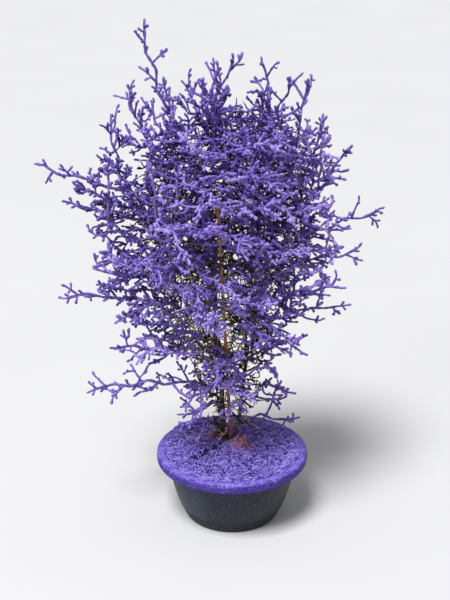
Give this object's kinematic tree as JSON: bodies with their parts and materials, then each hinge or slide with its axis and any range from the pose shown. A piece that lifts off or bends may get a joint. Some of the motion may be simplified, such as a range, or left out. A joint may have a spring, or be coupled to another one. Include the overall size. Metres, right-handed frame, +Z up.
{
  "type": "corokia bonsai",
  "caption": "Wire-netting bush trained as a small tree: zigzag powder-coated twigs on thin stems tied to a cane, in a plain plastic bowl of compost.",
  "frame": {"origin": "centre of the flat underside of the bowl", "axes": "+Z up along the bowl's axis, -Y towards the front of the picture, +X to its right"},
  "size_m": [0.4641, 0.3271, 0.7244],
  "materials": {
    "bowl": "satin dark grey, scuffed, violet powder on the rim",
    "compost": "dark crumbly compost",
    "coated_mat": "matt fibres under violet powder",
    "bark": "rough brown bark",
    "cane": "smooth brown cane with joints",
    "tie": "pale plastic tie",
    "coated_twig": "matt violet powder over olive-brown twigs"
  },
  "bodies": {
    "root": {"branch_01": "coated_twig", "branch_02": "coated_twig", "branch_03": "coated_twig", "branch_04": "coated_twig", "branch_05": "coated_twig", "branch_06": "coated_twig", "branch_07": "coated_twig", "branch_08": "coated_twig", "branch_09": "coated_twig", "branch_10": "coated_twig", "branch_11": "coated_twig", "branch_12": "coated_twig", "branch_13": "coated_twig", "branch_14": "coated_twig", "branch_15": "coated_twig", "branch_16": "coated_twig", "branch_17": "coated_twig", "branch_18": "coated_twig", "branch_19": "coated_twig", "branch_20": "coated_twig", "branch_21": "coated_twig", "branch_22": "coated_twig", "branch_23": "coated_twig", "branch_24": "coated_twig", "branch_25": "coated_twig", "branch_26": "coated_twig", "branch_27": "coated_twig", "branch_28": "coated_twig", "branch_29": "coated_twig", "branch_30": "coated_twig", "branch_31": "coated_twig", "branch_32": "coated_twig", "branch_33": "coated_twig", "branch_34": "coated_twig", "branch_35": "coated_twig", "branch_36": "coated_twig", "branch_37": "coated_twig", "branch_38": "coated_twig", "branch_39": "coated_twig", "branch_40": "coated_twig", "branch_41": "coated_twig", "branch_42": "coated_twig", "branch_43": "coated_twig", "branch_44": "coated_twig", "branch_45": "coated_twig", "branch_46": "coated_twig", "branch_47": "coated_twig", "cane": "cane", "ground_cover": "coated_mat", "pot": "bowl", "soil": "compost", "tie_lower": "tie", "tie_upper": "tie", "trunk_main": "bark", "trunk_second": "bark"}
  },
  "joints": []
}
